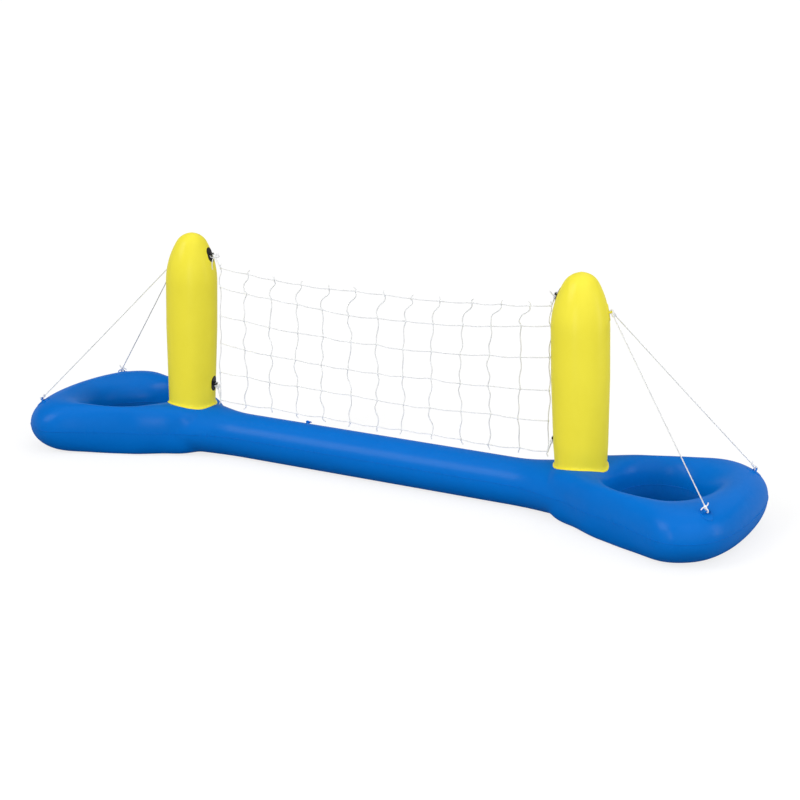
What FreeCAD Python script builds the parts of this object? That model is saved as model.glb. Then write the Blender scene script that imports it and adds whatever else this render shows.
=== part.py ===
"""Inflatable pool volleyball set: a float with a ring at each end, two leaning posts, a net and guy lines.

Millimetres and degrees, +Z up, the long way along X, the origin on the ground under the middle.
"""
import FreeCAD, Part
import math
import os
import Sketcher
from FreeCAD import Placement, Rotation, Vector

X = Vector(1, 0, 0)
Y = Vector(0, 1, 0)
UP = Vector(0, 0, 1)
ORIGIN = Vector(0, 0, 0)
RIGHT = 1
LEFT = -1
FRONT = -1
BACK = 1

# Driving dimensions
DIMENSIONS = {
    # float: air chamber of two sheets that meet in a seam at half its height
    "seam_height": 81.2,
    "tube_radius": 71.6,
    "ring_centre": 951.8,
    "ring_ahead": 274.3,
    "ring_behind": 359.8,
    "ring_half_width": 305.6,
    "ring_half_height": 81.7,
    "hole_ahead": 132.0,
    "hole_behind": 149.0,
    "hole_half_width": 157.0,
    "neck_start": 481.5,
    "neck_end": 727.0,
    "neck_half_width": 127.0,
    "seam_width": 3.0,
    "seam_thickness": 1.2,
    # posts: bullet-shaped chambers that lean in, as the tight net pulls them
    "post_centre": 702.5,
    "post_lean": 1.93,
    "post_foot_radius": 75.0,
    "post_radius": 83.0,
    "post_foot": 115.0,
    "post_taper_end": 420.0,
    "post_dome_start": 567.0,
    "post_top": 726.0,
    "post_crown_radius": 56.0,
    "weld_width": 5.0,
    "film": 1.6,
    # welded tabs, each a film oval with a moulded bridge
    "tab_length": 50.0,
    "tab_width": 36.0,
    "bridge_rise": 11.4,
    "bridge_half_length": 10.0,
    "bridge_spread": 3.5,
    "bridge_thickness": 2.2,
    "bridge_width": 5.0,
    "upper_tab_height": 660.0,
    "lower_tab_height": 230.0,
    "guy_tab_height": 614.0,
    "guy_tab_turn": 18.0,
    "left_net_tab_turn": 12.0,
    "right_net_tab_turn": 0.0,
    "ring_tab_turn": 46.0,
    "ring_tab_rise": 56.0,
    # net
    "net_cord": 2.6,
    "net_half_length": 578.0,
    "net_top": 622.0,
    "net_sag": 28.0,
    "net_second_row": 560.0,
    "net_bottom": 179.0,
    "net_left_slant": 12.0,
    "net_right_slant": 36.0,
    "net_stub_above": 12.0,
    "net_stub_below": 15.0,
    "net_loop_radius": 4.2,
    # guy lines
    "guy_cord": 4.0,
    "guy_loop_radius": 4.6,
    "guy_knot_radius": 4.4,
    "guy_knot_length": 9.0,
    "guy_spacing": 4.8,
    # push-in valves
    "valve_flange_radius": 14.0,
    "collar_radius": 7.5,
    "collar_depth": 18.0,
    "collar_rise": 3.0,
    "stem_radius": 5.5,
    "stem_depth": 12.0,
    "stem_rise": 14.0,
    "stem_rim_radius": 7.2,
    "stem_rim": 1.6,
    "stem_bore_depth": 12.0,
    "plug_pin_radius": 2.5,
    "plug_pin_length": 7.0,
    "plug_cap_radius": 6.2,
    "plug_cap": 1.8,
    "strap_reach": 12.0,
    "strap_thickness": 1.0,
    "strap_width": 3.0,
    "pocket_depth": 26.0,
    "running_fit": 0.1,
    "seat_gap": 0.3,
    "float_valve_x": -284.0,
    "float_valve_turn": 46.0,
    "post_valve_height": 240.0,
}

# Ring outline as shares of its reach ahead, behind and sideways, from the end round to the neck
RING_OUTLINE = ((1, 0), (0.967, 0.46), (0.853, 0.79), (0.632, 0.973), (0.375, 1), (0.007, 0.831),
                (-0.276, 0.67), (-0.454, 0.592), (-0.678, 0.436), (-0.885, 0.312), (-1, 0))
RING_SECTIONS = 28
NECK_SECTIONS = 7
SECTION_SIDES = 20
HOLE_POINTS = 16
HOLE_EGG = 0.185
ROUND_POWER = 2
PLATFORM_POWER = 1.2
FLANK_STEPS = 6
CROWN_STEPS = 5
CROWN_END = 86
NET_COLUMNS = 12
NET_ROWS = 5
# Sides of what is drawn as a many-sided prism
POST_SIDES = 36
ROUND_SIDES = 20
OVAL_STEPS = 4
LOOP_SIDES = 12
CORD_SIDES = 8

doc = FreeCAD.newDocument("pool_volleyball_set")
sheet = doc.addObject("Spreadsheet::Sheet", "Sizes")
for row, (alias, value) in enumerate(DIMENSIONS.items(), start=1):
    sheet.set("A%d" % row, alias)
    sheet.set("B%d" % row, str(value))
    sheet.setAlias("B%d" % row, alias)
doc.recompute()


class Size:
    """A length from the sheet, with the expression that keeps a feature tied to its cell."""

    def __init__(self, value, text):
        self.value = value
        self.text = text

    def __add__(self, other):
        return Size(self.value + other.value, "(%s + %s)" % (self.text, other.text))

    def __sub__(self, other):
        return Size(self.value - other.value, "(%s - %s)" % (self.text, other.text))


def size(alias):
    return Size(float(sheet.get(alias)), "Sizes." + alias)


def mm(alias):
    return float(sheet.get(alias))


# Sketches and bodies

def plane_of(body, role):
    return next(f for f in body.Origin.OriginFeatures if f.Role == role)


def outline_sketch(body, name, role, corners):
    """A closed sketch whose corners are held at pairs of sizes; None puts a corner on the axis."""
    sketch = body.newObject("Sketcher::SketchObject", name)
    sketch.AttachmentSupport = (plane_of(body, role), [""])
    sketch.MapMode = "FlatFace"
    places = []
    for across, along in corners:
        places.append(Vector(across.value if across else 0, along.value if along else 0, 0))
    for index, place in enumerate(places):
        sketch.addGeometry(Part.LineSegment(place, places[(index + 1) % len(places)]), False)
    for index in range(len(places)):
        before = (index - 1) % len(places)
        sketch.addConstraint(Sketcher.Constraint("Coincident", before, 2, index, 1))
    for index, (across, along) in enumerate(corners):
        hold(sketch, index, "DistanceX", across, -2)
        hold(sketch, index, "DistanceY", along, -1)
    return sketch


def hold(sketch, index, kind, length, axis):
    """Ties one corner's distance from the sketch's origin to a size, or puts the corner on an axis."""
    if length is None:
        sketch.addConstraint(Sketcher.Constraint("PointOnObject", index, 1, axis))
        return
    number = sketch.addConstraint(Sketcher.Constraint(kind, -1, 1, index, 1, length.value))
    sketch.renameConstraint(number, "%s_%d" % (kind, index))
    sketch.setExpression("Constraints.%s_%d" % (kind, index), length.text)


def turned_body(label, place, steps):
    """A body of many-sided prisms on its local Z, each added or cut: kind, radius, start and height."""
    body = doc.addObject("PartDesign::Body", label)
    body.Label = label
    for index, (kind, radius, start, height) in enumerate(steps):
        step = body.newObject("PartDesign::%sPrism" % kind, "%s_step_%d" % (label, index))
        step.AttachmentSupport = (plane_of(body, "XY_Plane"), [""])
        step.MapMode = "FlatFace"
        step.Polygon = ROUND_SIDES
        step.setExpression("Circumradius", radius.text)
        step.setExpression("Height", height.text)
        if start:
            step.setExpression("AttachmentOffset.Base.z", start.text)
    doc.recompute()
    body.Placement = place
    return body


def flat_body(label, place, corners, width):
    """A body made by padding an outline evenly to both sides of its local XZ plane."""
    body = doc.addObject("PartDesign::Body", label)
    body.Label = label
    sketch = outline_sketch(body, label + "_outline", "XZ_Plane", corners)
    pad = body.newObject("PartDesign::Pad", label + "_pad")
    pad.Profile = sketch
    pad.Midplane = True
    pad.setExpression("Length", width.text)
    doc.recompute()
    body.Placement = place
    return body


def piece(label, shape):
    """A sub-part whose shape comes from the functions below."""
    feature = doc.addObject("Part::Feature", label)
    feature.Label = label
    feature.Shape = shape
    return feature


def frame_on(point, outward, across):
    """A placement with local Z outward and local X as near to across as a square frame allows."""
    z_axis = Vector(outward).normalize()
    y_axis = z_axis.cross(across).normalize()
    x_axis = y_axis.cross(z_axis)
    return Placement(point, Rotation(x_axis, y_axis, z_axis, "ZXY"))


def placed(shape, place):
    copy = shape.copy()
    copy.Placement = place
    return copy


def placed_on(shape, place):
    """A copy of a shape, carried with its own place into another frame."""
    return placed(shape, place.multiply(shape.Placement))


def many_sided(sides, radius, height):
    """Corners of a level regular polygon about local Z, the first one over local X."""
    turns = [2 * math.pi * side / sides for side in range(sides)]
    return [Vector(radius * math.cos(turn), radius * math.sin(turn), height) for turn in turns]


def flat_face(corners):
    return Part.Face(Part.makePolygon(corners + corners[:1]))


def prism(sides, radius, length, start, axis):
    """A many-sided prism from start along axis."""
    block = flat_face(many_sided(sides, radius, 0)).extrude(UP * length)
    return placed(block, Placement(start, Rotation(UP, axis)))


# Float

def plan_loop(points):
    """A smooth face in the plan, through points of its far half and their mirror images."""
    far = [Vector(across, along, 0) for across, along in points]
    near = [Vector(point.x, -point.y, 0) for point in far[-2:0:-1]]
    curve = Part.BSplineCurve()
    curve.interpolate(far + near, PeriodicFlag=True)
    return Part.Face(Part.Wire(curve.toShape()))


def ring_plan():
    points = []
    for along, across in RING_OUTLINE:
        reach = mm("ring_ahead") if along > 0 else mm("ring_behind")
        points.append((along * reach, across * mm("ring_half_width")))
    return plan_loop(points)


def hole_plan():
    points = []
    for step in range(HOLE_POINTS + 1):
        turn = math.pi * step / HOLE_POINTS
        reach = mm("hole_ahead") if math.cos(turn) > 0 else mm("hole_behind")
        egg = 1 - HOLE_EGG * math.cos(turn)
        points.append((reach * math.cos(turn), mm("hole_half_width") * math.sin(turn) * egg))
    return plan_loop(points)


RING_PLAN = ring_plan()
HOLE_PLAN = hole_plan()


def plan_reach(plan, turn):
    """Distance from the ring's centre to the plan's edge in the direction turn."""
    heading = Vector(math.cos(turn), math.sin(turn), 0)
    return Part.makeLine(ORIGIN, heading * 1000).common(plan).Length


def rounded(part, power):
    """A share of a half axis on a curve that is an ellipse at power 2 and squarer above it."""
    return math.copysign(abs(part) ** (2 / power), part)


def oval(centre, across, half_width, half_height, power=ROUND_POWER):
    """An upright rounded section of short straight sides, with level ones at its top and bottom."""
    reach = rounded(math.cos(math.pi / SECTION_SIDES), power)
    points = []
    for step in range(SECTION_SIDES + 1):
        turn = 2 * math.pi * (step + 0.5) / SECTION_SIDES
        side = across * (half_width * rounded(math.cos(turn), power) / reach)
        points.append(centre + side + UP * (half_height * rounded(math.sin(turn), power) / reach))
    return Part.makePolygon(points)


def ring_section(turn, grow):
    """Where the ring's section lies at one turn, how wide it is, and its power, fuller under the post."""
    outer = plan_reach(RING_PLAN, turn) + grow
    inner = plan_reach(HOLE_PLAN, turn) - grow
    power = ROUND_POWER + PLATFORM_POWER * max(0, -math.cos(turn)) ** 4
    return (outer + inner) / 2, (outer - inner) / 2, power


def ring(grow):
    centre = Vector(mm("ring_centre"), 0, mm("seam_height"))
    sections = []
    for step in range(RING_SECTIONS):
        turn = 2 * math.pi * step / RING_SECTIONS
        heading = Vector(math.cos(turn), math.sin(turn), 0)
        middle, half_width, power = ring_section(turn, grow)
        half_height = mm("ring_half_height") + grow
        sections.append(oval(centre + heading * middle, heading, half_width, half_height, power))
    return Part.makeLoft(sections, True, True, True)


def neck_station(step, grow):
    """The middle of one section of the flare, level with the ring underneath, and its half sizes."""
    share = step / (NECK_SECTIONS - 1)
    flare = (1 - math.cos(math.pi * share)) / 2
    along = mm("neck_start") + (mm("neck_end") - mm("neck_start")) * share
    half_width = mm("tube_radius") + (mm("neck_half_width") - mm("tube_radius")) * flare
    half_height = mm("tube_radius") + (mm("ring_half_height") - mm("tube_radius")) * flare
    middle = Vector(along, 0, mm("seam_height") + half_height - mm("ring_half_height"))
    return middle, half_width + grow, half_height + grow


def neck(grow):
    """The flare from the tube to the ring, which carries the post."""
    sections = []
    for step in range(NECK_SECTIONS):
        middle, half_width, half_height = neck_station(step, grow)
        sections.append(oval(middle, Y, half_width, half_height))
    return Part.makeLoft(sections, True, True, False)


def chamber(grow):
    """The whole float, its surface moved out by grow."""
    right = ring(grow).fuse(neck(grow))
    middle, half_width, half_height = neck_station(0, grow)
    ends = [Vector(side * middle.x, middle.y, middle.z) for side in (RIGHT, LEFT)]
    tube = Part.makeLoft([oval(end, Y, half_width, half_height) for end in ends], True, True)
    whole = right.fuse([tube, right.mirror(ORIGIN, X)]).removeSplitter()
    return whole.Solids[0]


FLOAT = chamber(0)
FLOAT_SKIN = chamber(mm("film"))


def plan_plate(points):
    """A plate under the seam's upper side, its corners at points in the plan."""
    bottom = mm("seam_height") - mm("seam_thickness")
    corners = [Vector(point.x, point.y, bottom) for point in points]
    return flat_face(corners).extrude(UP * (2 * mm("seam_thickness")))


def seam_plate():
    """A plate all through the float at the seam, which stands out round its edges by the seam's width."""
    wide = mm("seam_width")
    outer = []
    inner = []
    for step in range(RING_SECTIONS):
        turn = 2 * math.pi * step / RING_SECTIONS
        heading = Vector(math.cos(turn), math.sin(turn), 0)
        middle, half_width, power = ring_section(turn, wide)
        outer.append(X * mm("ring_centre") + heading * (middle + half_width))
        inner.append(X * mm("ring_centre") + heading * (middle - half_width))
    ring_plate = plan_plate(outer).cut(plan_plate(inner))
    stations = [neck_station(step, wide) for step in range(NECK_SECTIONS)]
    neck_side = [Vector(middle.x, half_width, 0) for middle, half_width, half_height in stations]
    neck_plate = plan_plate(neck_side + [Vector(point.x, -point.y, 0) for point in reversed(neck_side)])
    start = neck_side[0]
    tube_plate = plan_plate([start, Vector(start.x, -start.y, 0), -start, Vector(-start.x, start.y, 0)])
    right = ring_plate.fuse(neck_plate)
    return right.fuse([tube_plate, right.mirror(ORIGIN, X)]).removeSplitter()


def slab(bottom, top):
    long_side = 4 * mm("ring_centre")
    corner = Vector(-long_side / 2, -long_side / 2, bottom)
    return Part.makeBox(long_side, long_side, top - bottom, corner)


def float_sheets():
    """The top and bottom sheets with their shares of the air, and the welded seam between them."""
    seam = mm("seam_height")
    sealed = FLOAT.fuse(seam_plate())
    return sealed.common(slab(seam, 3 * seam)), sealed.common(slab(0, seam))


# Posts

def post_frame(side):
    """The post's own frame: local Z up its axis, from its axis's foot on the ground."""
    lean = Rotation(Y, -side * mm("post_lean"))
    return Placement(Vector(side * mm("post_centre"), 0, 0), lean)


def flank_radius():
    """Radius of the dome's long flank, which runs smoothly from the straight wall into the crown."""
    tall = mm("post_top") - mm("post_dome_start")
    crown = mm("post_crown_radius")
    return (mm("post_radius") ** 2 + tall ** 2 - 2 * tall * crown) / (2 * (mm("post_radius") - crown))


def dome_profile(grow):
    """Points up the dome: short straight steps along the flank's arc and the crown's, to a flat top."""
    flank = flank_radius()
    flank_centre = Vector(mm("post_radius") - flank, 0, mm("post_dome_start"))
    crown = mm("post_crown_radius")
    crown_centre = Vector(0, 0, mm("post_top") - crown)
    join = math.atan2(crown_centre.z - flank_centre.z, crown_centre.x - flank_centre.x)
    points = []
    for step in range(FLANK_STEPS):
        turn = join * step / FLANK_STEPS
        points.append(flank_centre + Vector(math.cos(turn), 0, math.sin(turn)) * (flank + grow))
    for step in range(CROWN_STEPS):
        turn = join + (math.radians(CROWN_END) - join) * step / (CROWN_STEPS - 1)
        points.append(crown_centre + Vector(math.cos(turn), 0, math.sin(turn)) * (crown + grow))
    return points


def post_form(grow):
    """A tapered foot, a straight stretch and a tall dome, with many flat sides about the post's axis."""
    foot = Vector(mm("post_foot_radius") + grow, 0, mm("post_foot"))
    taper = Vector(mm("post_radius") + grow, 0, mm("post_taper_end"))
    levels = [foot, taper] + dome_profile(grow)
    rings = [many_sided(POST_SIDES, level.x, level.z) for level in levels]
    faces = [flat_face(rings[0]), flat_face(rings[-1])]
    for low, high in zip(rings, rings[1:]):
        for side in range(POST_SIDES):
            faces.append(flat_face([low[side - 1], low[side], high[side], high[side - 1]]))
    return Part.Solid(Part.Shell(faces))


POST = post_form(0)
POST_SKIN = post_form(mm("film"))


def post_skin(height, heading):
    """A point on the post's wall or flank in its own frame, and the outward direction there."""
    if height > mm("post_dome_start"):
        flank = flank_radius()
        rise = (height - mm("post_dome_start")) / flank
        slope = Vector(math.sqrt(1 - rise ** 2), 0, rise)
        radius = mm("post_radius") - flank * (1 - slope.x)
    else:
        taper = max(0, (mm("post_taper_end") - height) / (mm("post_taper_end") - mm("post_foot")))
        radius = mm("post_radius") - (mm("post_radius") - mm("post_foot_radius")) * taper
        slope = X
    turn = Rotation(UP, heading)
    return turn.multVec(Vector(radius, 0, height)), turn.multVec(Vector(slope).normalize())


def weld_ring(side):
    """The yellow flange that carries the post on the float, saddle-shaped like the float's top."""
    height = mm("post_taper_end") - mm("post_foot")
    radius = mm("post_foot_radius") + mm("weld_width")
    wide = prism(POST_SIDES, radius, height, UP * mm("post_foot"), UP)
    band = placed(wide.cut(POST), post_frame(side))
    return FLOAT_SKIN.common(band).cut(FLOAT)


# Tabs

def bridge_form():
    """A moulded handle over the local XY plane, its bar along local X, with feet that reach below it."""
    rise = mm("bridge_rise")
    thick = mm("bridge_thickness")
    half = mm("bridge_half_length")
    spread = mm("bridge_spread")
    depth = 2 * mm("film")
    outer = [(-half - spread, -depth), (-half - spread, 0), (-half, rise), (half, rise), (half + spread, 0),
             (half + spread, -depth)]
    inner = [(half + spread - thick, -depth), (half + spread - thick, 0), (half - thick, rise - thick),
             (thick - half, rise - thick), (thick - half - spread, 0), (thick - half - spread, -depth)]
    corners = [Vector(across, -mm("bridge_width") / 2, height) for across, height in outer + inner]
    return flat_face(corners).extrude(Y * mm("bridge_width"))


BRIDGE = bridge_form()


def oval_prism(height):
    """The tab's rounded outline as a prism through the local XY plane, its long way along local Y."""
    radius = mm("tab_width") / 2
    straight = mm("tab_length") / 2 - radius
    corners = []
    for end in (1, -1):
        for step in range(OVAL_STEPS + 1):
            turn = math.pi * step / OVAL_STEPS
            corner = Vector(radius * math.cos(turn), straight + radius * math.sin(turn), 0) * end
            corners.append(corner - UP * (height / 2))
    return flat_face(corners).extrude(UP * height)


def tab_on(skin, body_form, place):
    """A film oval cut from the skin of what it is welded to, with its bridge."""
    outline = placed(oval_prism(mm("bridge_rise") * 2), place)
    handle = placed(BRIDGE, place).cut(body_form)
    return skin.common(outline).cut(body_form).fuse(handle).removeSplitter()


def bar_point(place):
    """The middle of the bridge's bar, where a cord is tied round it."""
    return place.multVec(UP * (mm("bridge_rise") - mm("bridge_thickness") / 2))


def post_tab_frame(side, height, heading):
    """A frame on the post's skin; heading 0 looks away from the net and 180 towards it, by way of the back."""
    point, outward = post_skin(height, heading if side == RIGHT else 180 - heading)
    frame = post_frame(side)
    return frame_on(frame.multVec(point), frame.Rotation.multVec(outward), Y)


def net_tab_frame(side, height):
    turn = mm("right_net_tab_turn") if side == RIGHT else mm("left_net_tab_turn")
    return post_tab_frame(side, height, 180 - turn)


def guy_tab_frame(side):
    return post_tab_frame(side, mm("guy_tab_height"), mm("guy_tab_turn"))


def ring_tab_frame(side, end):
    """A frame on top of the ring's corner, its bar square to the guy line that comes to it."""
    turn = math.radians(mm("ring_tab_turn"))
    rise = math.radians(mm("ring_tab_rise"))
    middle, half_width, power = ring_section(turn, 0)
    half_height = mm("ring_half_height")
    heading = Vector(side * math.cos(turn), end * math.sin(turn), 0)
    centre = Vector(side * mm("ring_centre"), 0, mm("seam_height"))
    point = centre + heading * (middle + half_width * math.cos(rise))
    point += UP * (half_height * math.sin(rise))
    outward = heading * (math.cos(rise) / half_width) + UP * (math.sin(rise) / half_height)
    guy_top = bar_point(guy_tab_frame(side))
    return frame_on(point, outward, outward.cross(guy_top - point))


# Net and guy lines

def net_height(row, across):
    """Height of a row of the net at a place along it; row 0 is the sagging top cord."""
    if row == 0:
        return mm("net_top") - mm("net_sag") * (1 - (across / mm("net_half_length")) ** 2)
    step = (mm("net_second_row") - mm("net_bottom")) / (NET_ROWS - 1)
    return mm("net_second_row") - step * (row - 1)


def net_crossing(row, column):
    """Where two cords cross: the top cord's knots lie shifted along it, more so to the right."""
    across = mm("net_half_length") * (2 * column / NET_COLUMNS - 1)
    if row == 0 and 0 < column < NET_COLUMNS:
        share = column / NET_COLUMNS
        across += mm("net_left_slant") * (1 - share) + mm("net_right_slant") * share
    return across, net_height(row, across)


def net_outline():
    """The net's border with the cut ends of its upright cords above and below."""
    half = mm("net_cord") / 2
    above = []
    below = []
    for column in range(NET_COLUMNS + 1):
        across, height = net_crossing(0, column)
        top = height + half
        stub = top + mm("net_stub_above")
        near = across - half
        far = across + half
        above += [(near, top), (near, stub), (far, stub), (far, top)]
        across, height = net_crossing(NET_ROWS, column)
        bottom = height - half
        stub = bottom - mm("net_stub_below")
        near = across - half
        far = across + half
        below += [(near, bottom), (near, stub), (far, stub), (far, bottom)]
    return above[1:-1] + below[-2:0:-1]


def net_gap(row, column):
    half = mm("net_cord") / 2
    corners = []
    for down, right, side, rise in ((0, 0, 1, -1), (0, 1, -1, -1), (1, 1, -1, 1), (1, 0, 1, 1)):
        across, height = net_crossing(row + down, column + right)
        corners.append((across + side * half, height + rise * half))
    return corners


def upright_wire(points):
    corners = [Vector(across, -mm("net_cord") / 2, height) for across, height in points]
    return Part.makePolygon(corners + corners[:1])


def cord_loop(centre, axis, inner, cord):
    """A loop of cord round a bar, lying square to axis, and the space inside it."""
    start = centre - axis * (cord / 2)
    loop = prism(LOOP_SIDES, inner + cord, cord, start, axis)
    return loop, prism(LOOP_SIDES, inner, cord, start, axis)


def loop_axis(tab, along):
    """The way a loop's hole looks: as near to the tab's bar as its cord's run allows."""
    bar = tab.Rotation.multVec(X)
    return (bar - along * bar.dot(along)).normalize()


def net_tie(corner, tab):
    """A corner cord of the net: a run to a tab's bar and a loop round the bar."""
    cord = mm("net_cord")
    inner = mm("net_loop_radius")
    bar = bar_point(tab)
    run = bar - corner
    along = Vector(run).normalize()
    block = Part.makeBox(cord, cord, run.Length - inner, Vector(-cord / 2, -cord / 2, 0))
    strip = placed(block, frame_on(corner, along, X))
    loop, hole = cord_loop(bar, loop_axis(tab, along), inner, cord)
    return strip.fuse(loop).cut(hole)


def net_shape():
    """The whole net as one holed face of cord thickness, with its four corner ties."""
    gaps = []
    for row in range(NET_ROWS):
        for column in range(NET_COLUMNS):
            gaps.append(upright_wire(net_gap(row, column)))
    holed = Part.makeFace([upright_wire(net_outline())] + gaps, "Part::FaceMakerBullseye")
    mesh = holed.extrude(Y * mm("net_cord"))
    ties = []
    for side, column in ((LEFT, 0), (RIGHT, NET_COLUMNS)):
        for row, alias in ((0, "upper_tab_height"), (NET_ROWS, "lower_tab_height")):
            across, height = net_crossing(row, column)
            ties.append(net_tie(Vector(across, 0, height), net_tab_frame(side, mm(alias))))
    return mesh.fuse(ties).removeSplitter()


def guy_line(side, end):
    """A tight cord from the post's outer tab to the ring's corner tab, a loop and a knot at each end."""
    post_tab = guy_tab_frame(side)
    ring_tab = ring_tab_frame(side, end)
    top = bar_point(post_tab) + post_tab.Rotation.multVec(X) * (end * mm("guy_spacing"))
    foot = bar_point(ring_tab)
    run = foot - top
    along = Vector(run).normalize()
    knot = mm("guy_loop_radius") + mm("guy_cord") / 2
    reach = knot + mm("guy_knot_length") / 2
    pieces = []
    for place, inward, tab in ((top, along, post_tab), (foot, along * -1, ring_tab)):
        loop, hole = cord_loop(place, loop_axis(tab, inward), mm("guy_loop_radius"), mm("guy_cord"))
        pieces.append(loop.cut(hole))
        start = place + inward * knot
        pieces.append(prism(CORD_SIDES, mm("guy_knot_radius"), mm("guy_knot_length"), start, inward))
    cord = prism(CORD_SIDES, mm("guy_cord") / 2, run.Length - 2 * reach, top + along * reach, along)
    return cord.fuse(pieces).removeSplitter()


# Valves

def valve_seat(skin, body_form, place):
    """A round film flange with the collar that guides the stem into the chamber."""
    height = mm("collar_depth") + mm("collar_rise")
    start = UP * -mm("collar_depth")
    disc = prism(ROUND_SIDES, mm("valve_flange_radius"), height, start, UP)
    collar = prism(ROUND_SIDES, mm("collar_radius"), height, start, UP)
    passage = prism(ROUND_SIDES, mm("stem_radius") + mm("running_fit"), height, start, UP)
    flange = skin.common(placed_on(disc, place)).cut(body_form)
    return flange.fuse(placed_on(collar, place)).cut(placed_on(passage, place))


def valve_pocket(place):
    """What the valve takes out of the chamber's solid."""
    depth = mm("pocket_depth")
    height = depth + mm("collar_rise")
    return placed_on(prism(ROUND_SIDES, mm("collar_radius"), height, UP * -depth, UP), place)


def valve_stem(label, place):
    """A hollow stem with a rim on top, which is pushed in to lie low."""
    bottom_place = place.multiply(Placement(-UP * mm("stem_depth"), Rotation()))
    length = size("stem_depth") + size("stem_rise")
    rim_bottom = length - size("stem_rim")
    bore_bottom = length - size("stem_bore_depth")
    bore = size("plug_pin_radius") + size("running_fit")
    steps = (("Additive", size("stem_radius"), None, rim_bottom),
             ("Additive", size("stem_rim_radius"), rim_bottom, size("stem_rim")),
             ("Subtractive", bore, bore_bottom, size("stem_bore_depth")))
    return turned_body(label, bottom_place, steps)


def valve_plug(label, place):
    """A plug with a flat cap and a pin that closes the stem's bore."""
    drop = mm("plug_pin_length") - mm("seat_gap")
    bottom_place = place.multiply(Placement(UP * (mm("stem_rise") - drop), Rotation()))
    return turned_body(label, bottom_place, (
        ("Additive", size("plug_pin_radius"), None, size("plug_pin_length")),
        ("Additive", size("plug_cap_radius"), size("plug_pin_length"), size("plug_cap"))))


def valve_strap(label, place):
    """The soft strap that keeps the plug on the stem, folded out to one side."""
    bottom_place = place.multiply(Placement(UP * (mm("stem_rise") - mm("stem_rim")), Rotation()))
    thick = size("strap_thickness")
    low_start = size("stem_rim_radius") + size("seat_gap")
    high_start = size("plug_cap_radius") + size("seat_gap")
    high = size("stem_rim") + size("seat_gap") + size("seat_gap")
    reach = size("strap_reach")
    corners = [(low_start, None), (reach, None), (reach, high + thick), (high_start, high + thick),
               (high_start, high), (reach - thick, high), (reach - thick, thick), (low_start, thick)]
    return flat_body(label, bottom_place, corners, size("strap_width"))


def float_valve_frame():
    turn = math.radians(mm("float_valve_turn"))
    outward = Vector(0, math.sin(turn), math.cos(turn))
    height = mm("seam_height") + mm("tube_radius") - mm("ring_half_height")
    point = Vector(mm("float_valve_x"), 0, height) + outward * mm("tube_radius")
    return frame_on(point, outward, X)


def post_valve_frame(side):
    """A valve low on the post's back."""
    point, outward = post_skin(mm("post_valve_height"), 90)
    frame = post_frame(side)
    return frame_on(frame.multVec(point), frame.Rotation.multVec(outward), X)


# Assembly

def side_name(side):
    return "right" if side == RIGHT else "left"


def end_name(end):
    return "front" if end == FRONT else "back"


def build_float(parts):
    valve = float_valve_frame()
    top, bottom = float_sheets()
    parts.append(piece("float_top_sheet", top.cut(valve_pocket(valve))))
    parts.append(piece("float_bottom_sheet", bottom.cut(valve_pocket(valve))))
    parts.append(piece("float_valve_seat", valve_seat(FLOAT_SKIN, FLOAT, valve)))
    parts.append(valve_stem("float_valve_stem", valve))
    parts.append(valve_plug("float_valve_plug", valve))
    parts.append(valve_strap("float_valve_strap", valve))


def build_post(parts, side):
    name = side_name(side)
    frame = post_frame(side)
    valve = post_valve_frame(side)
    form = placed(POST, frame)
    skin = placed(POST_SKIN, frame)
    parts.append(piece(name + "_post", form.cut(FLOAT).cut(valve_pocket(valve))))
    parts.append(piece(name + "_post_weld", weld_ring(side)))
    tabs = (("upper_net_tab", net_tab_frame(side, mm("upper_tab_height"))),
            ("lower_net_tab", net_tab_frame(side, mm("lower_tab_height"))),
            ("guy_tab", guy_tab_frame(side)))
    for tab, place in tabs:
        parts.append(piece("%s_%s" % (name, tab), tab_on(skin, form, place)))
    parts.append(piece(name + "_post_valve_seat", valve_seat(skin, form, valve)))
    parts.append(valve_stem(name + "_post_valve_stem", valve))
    parts.append(valve_plug(name + "_post_valve_plug", valve))
    parts.append(valve_strap(name + "_post_valve_strap", valve))


def build_corner(parts, side, end):
    name = "%s_%s" % (side_name(side), end_name(end))
    parts.append(piece(name + "_ring_tab", tab_on(FLOAT_SKIN, FLOAT, ring_tab_frame(side, end))))
    parts.append(piece(name + "_guy_line", guy_line(side, end)))


def check(parts):
    """Stops on a failed object or an empty or broken shape."""
    for item in doc.Objects:
        if "Invalid" in item.State or "Error" in item.State:
            raise RuntimeError("failed object: " + item.Label)
    for part in parts:
        if part.Shape.isNull() or not part.Shape.isValid():
            raise RuntimeError("broken shape: " + part.Label)


def main():
    parts = []
    build_float(parts)
    for side in (LEFT, RIGHT):
        build_post(parts, side)
        for end in (FRONT, BACK):
            build_corner(parts, side, end)
    parts.append(piece("net", net_shape()))
    doc.recompute()
    check(parts)
    os.makedirs("parts", exist_ok=True)
    for part in parts:
        part.Shape.exportStep("parts/%s.step" % part.Label)
        box = part.Shape.BoundBox
        print("%-28s solids %d  volume %9.1f cm3  z %.1f to %.1f" % (
            part.Label, len(part.Shape.Solids), part.Shape.Volume / 1000, box.ZMin, box.ZMax))


main()
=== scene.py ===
"""Looks of the inflatable pool volleyball set: film, welds, tabs, valves, knotted net and guy lines."""
import bmesh
import bpy
import math
import random
from mathutils import Matrix, Vector, noise
from mathutils.bvhtree import BVHTree


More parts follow.
